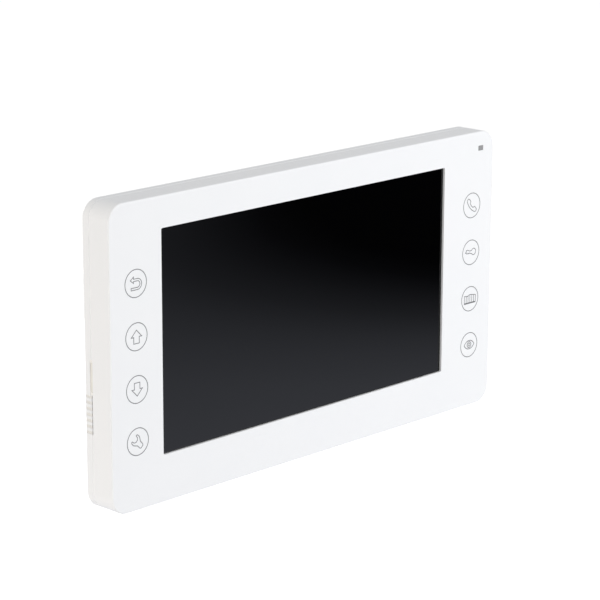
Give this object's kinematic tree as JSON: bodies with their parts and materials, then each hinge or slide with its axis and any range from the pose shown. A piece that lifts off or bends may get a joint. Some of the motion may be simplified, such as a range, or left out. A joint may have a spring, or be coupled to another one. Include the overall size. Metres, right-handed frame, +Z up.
{
  "type": "video intercom monitor",
  "caption": "Slim white wall-mounted video intercom monitor: widescreen display, printed touch-key columns, side card slot, steel wall bracket it lifts off.",
  "frame": {"origin": "centre of the bracket's four wall-screw holes, on the wall plane", "axes": "+X to the right seen from the front, +Z up, -Y from the wall towards the viewer; the screen faces -Y"},
  "size_m": [0.213, 0.0204, 0.1172],
  "materials": {
    "zinc_steel": "satin zinc",
    "white_shell": "satin white moulded",
    "clear_window": "polished clear",
    "black_foam": "matte",
    "display_cell": "gloss black",
    "backlight": "matte",
    "tray_steel": "bright sheet",
    "screw_steel": "zinc",
    "circuit_board": "solder resist",
    "black_epoxy": "matte",
    "heat_sink": "satin",
    "capacitor_can": "satin",
    "ivory_plastic": "matte",
    "contact_metal": "bright",
    "ribbon_film": "satin film",
    "adhesive_tape": "matte",
    "card_shell": "bright sheet",
    "card_ivory": "fine matte",
    "speaker_black": "matte",
    "magnet_iron": "plated",
    "light_pipe": "smoked clear"
  },
  "bodies": {
    "bracket": {"wall_bracket": "zinc_steel"},
    "card": {"memory_card": "card_ivory"},
    "monitor": {"audio_amplifier": "black_epoxy", "board_screws": "screw_steel", "capacitors": "capacitor_can", "card_socket": "card_shell", "case_screws": "screw_steel", "display_connector": "ivory_plastic", "display_gasket": "black_foam", "display_ribbon": "ribbon_film", "display_window": "clear_window", "door_socket_one": "ivory_plastic", "door_socket_two": "ivory_plastic", "front_housing": "white_shell", "key_board_left": "circuit_board", "key_board_right": "circuit_board", "key_connector_left": "ivory_plastic", "key_connector_right": "ivory_plastic", "key_ribbon_left": "ribbon_film", "key_ribbon_right": "ribbon_film", "key_tape_left": "adhesive_tape", "key_tape_right": "adhesive_tape", "lcd_backlight": "backlight", "lcd_clamps": "tray_steel", "lcd_glass": "display_cell", "lcd_screws": "screw_steel", "lcd_tray": "tray_steel", "led_board": "circuit_board", "led_ribbon": "ribbon_film", "light_pipe": "light_pipe", "main_board": "circuit_board", "memory_chip": "black_epoxy", "microphone": "capacitor_can", "microphone_boot": "black_foam", "monitor_socket": "ivory_plastic", "power_inductor": "black_epoxy", "power_socket": "ivory_plastic", "processor": "black_epoxy", "processor_heat_sink": "heat_sink", "rear_cover": "white_shell", "socket_pins": "contact_metal", "speaker_cone": "speaker_black", "speaker_frame": "speaker_black", "speaker_gasket": "black_foam", "speaker_magnet": "magnet_iron", "status_led": "light_pipe", "touch_chip_left": "black_epoxy", "touch_chip_right": "black_epoxy", "video_chip": "black_epoxy"}
  },
  "joints": [
    {"name": "lift_off", "type": "slide", "parent": "bracket", "child": "monitor", "axis": [0, 0, 1], "range_m": [0, 0.008]},
    {"name": "card_slide", "type": "slide", "parent": "monitor", "child": "card", "axis": [-1, 0, 0], "range_m": [-0.0008, 0.014]}
  ]
}
